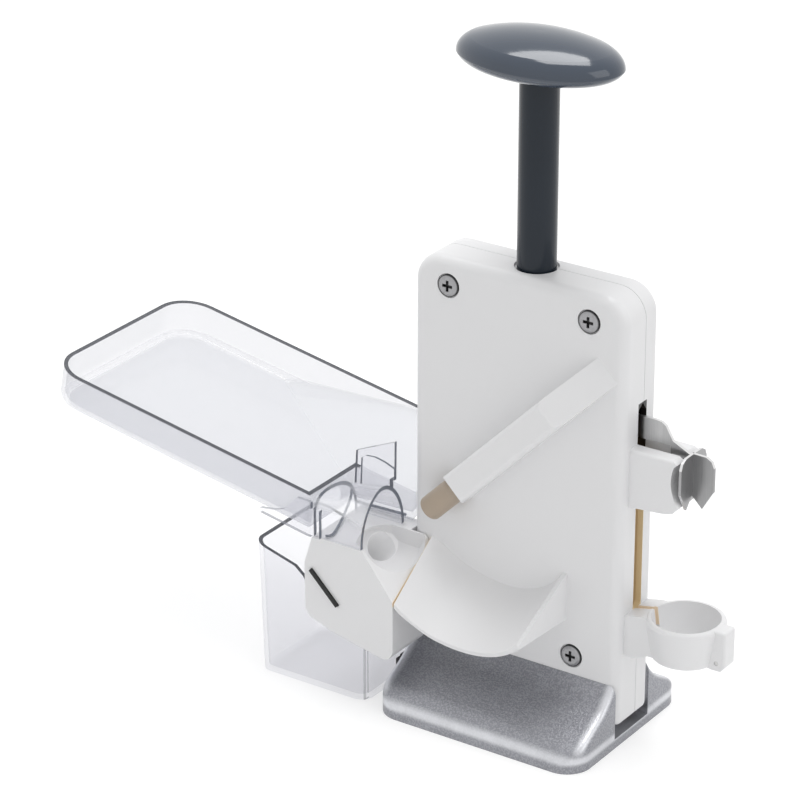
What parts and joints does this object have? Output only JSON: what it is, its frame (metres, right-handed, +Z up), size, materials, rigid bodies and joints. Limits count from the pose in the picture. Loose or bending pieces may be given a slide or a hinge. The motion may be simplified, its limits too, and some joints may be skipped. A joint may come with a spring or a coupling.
{
  "type": "cherry pitter",
  "caption": "Bench-top cherry and plum pitter: a palm-pressed plunger drives a slanted pitting pin and a star blade over a ring, with a clear hopper and a clear pit container.",
  "frame": {"origin": "on the bench plane, on the axis of the plunger", "axes": "+Z up along the plunger, +X to the right towards the plum ring, -Y to the front"},
  "size_m": [0.3302, 0.1029, 0.3105],
  "materials": {
    "white_plastic": "smooth satin moulded plastic",
    "tan_plastic": "smooth warm beige plastic",
    "grey_gloss": "glossy slate grey",
    "silver_plastic": "silver grey, fine spark texture",
    "clear_plastic": "clear moulded plastic",
    "stainless": "stamped stainless steel",
    "screw_steel": "zinc plated",
    "black_rubber": "soft black rubber",
    "black_plastic": "dark plastic"
  },
  "bodies": {
    "housing": {"front_shell": "white_plastic", "rear_shell": "white_plastic", "case_screws": "screw_steel", "tube_bush": "white_plastic", "spring_guide": "tan_plastic", "return_spring": "stainless", "plum_ring": "white_plastic", "ring_pin": "stainless", "base_foot": "silver_plastic", "rubber_feet": "black_rubber", "base_screws": "screw_steel", "container_latch": "black_plastic", "cherry_seat": "white_plastic", "pin_sleeve": "tan_plastic"},
    "plunger": {"plunger_tube": "grey_gloss", "plunger_knob": "grey_gloss", "knob_screw": "screw_steel", "carriage": "tan_plastic", "cross_pin": "stainless", "slide_pads": "tan_plastic", "blade_plate": "stainless", "star_blade_front": "stainless", "star_blade_rear": "stainless", "blade_rivets": "stainless"},
    "pin": {"pin_slider": "tan_plastic", "pitting_pin": "stainless"},
    "hopper": {"hopper_tray": "clear_plastic", "outlet_tunnel": "clear_plastic", "feed_fin": "clear_plastic"},
    "container": {"pit_container": "clear_plastic"},
    "seal": {"pit_seal": "black_rubber"}
  },
  "joints": [
    {"name": "plunge", "type": "slide", "parent": "housing", "child": "plunger", "axis": [0, 0, -1], "range_m": [0, 0.08], "stiffness_N_per_m": 160, "springref_m": -0.035, "deforming": ["return_spring"]},
    {"name": "pin_stroke", "type": "slide", "parent": "housing", "child": "pin", "axis": [-0.7071, 0, -0.7071], "range_m": [0, 0.0566]},
    {"name": "hopper_lift", "type": "slide", "parent": "housing", "child": "hopper", "axis": [0, 0, 1], "range_m": [0, 0.03]},
    {"name": "container_pull", "type": "slide", "parent": "housing", "child": "container", "axis": [-1, 0, 0], "range_m": [0, 0.05]},
    {"name": "seal_pull", "type": "slide", "parent": "housing", "child": "seal", "axis": [0, -1, 0], "range_m": [0, 0.022]}
  ],
  "couplings": [
    {"joint": "pin_stroke", "follows": "plunge", "ratio": 0.70711}
  ]
}
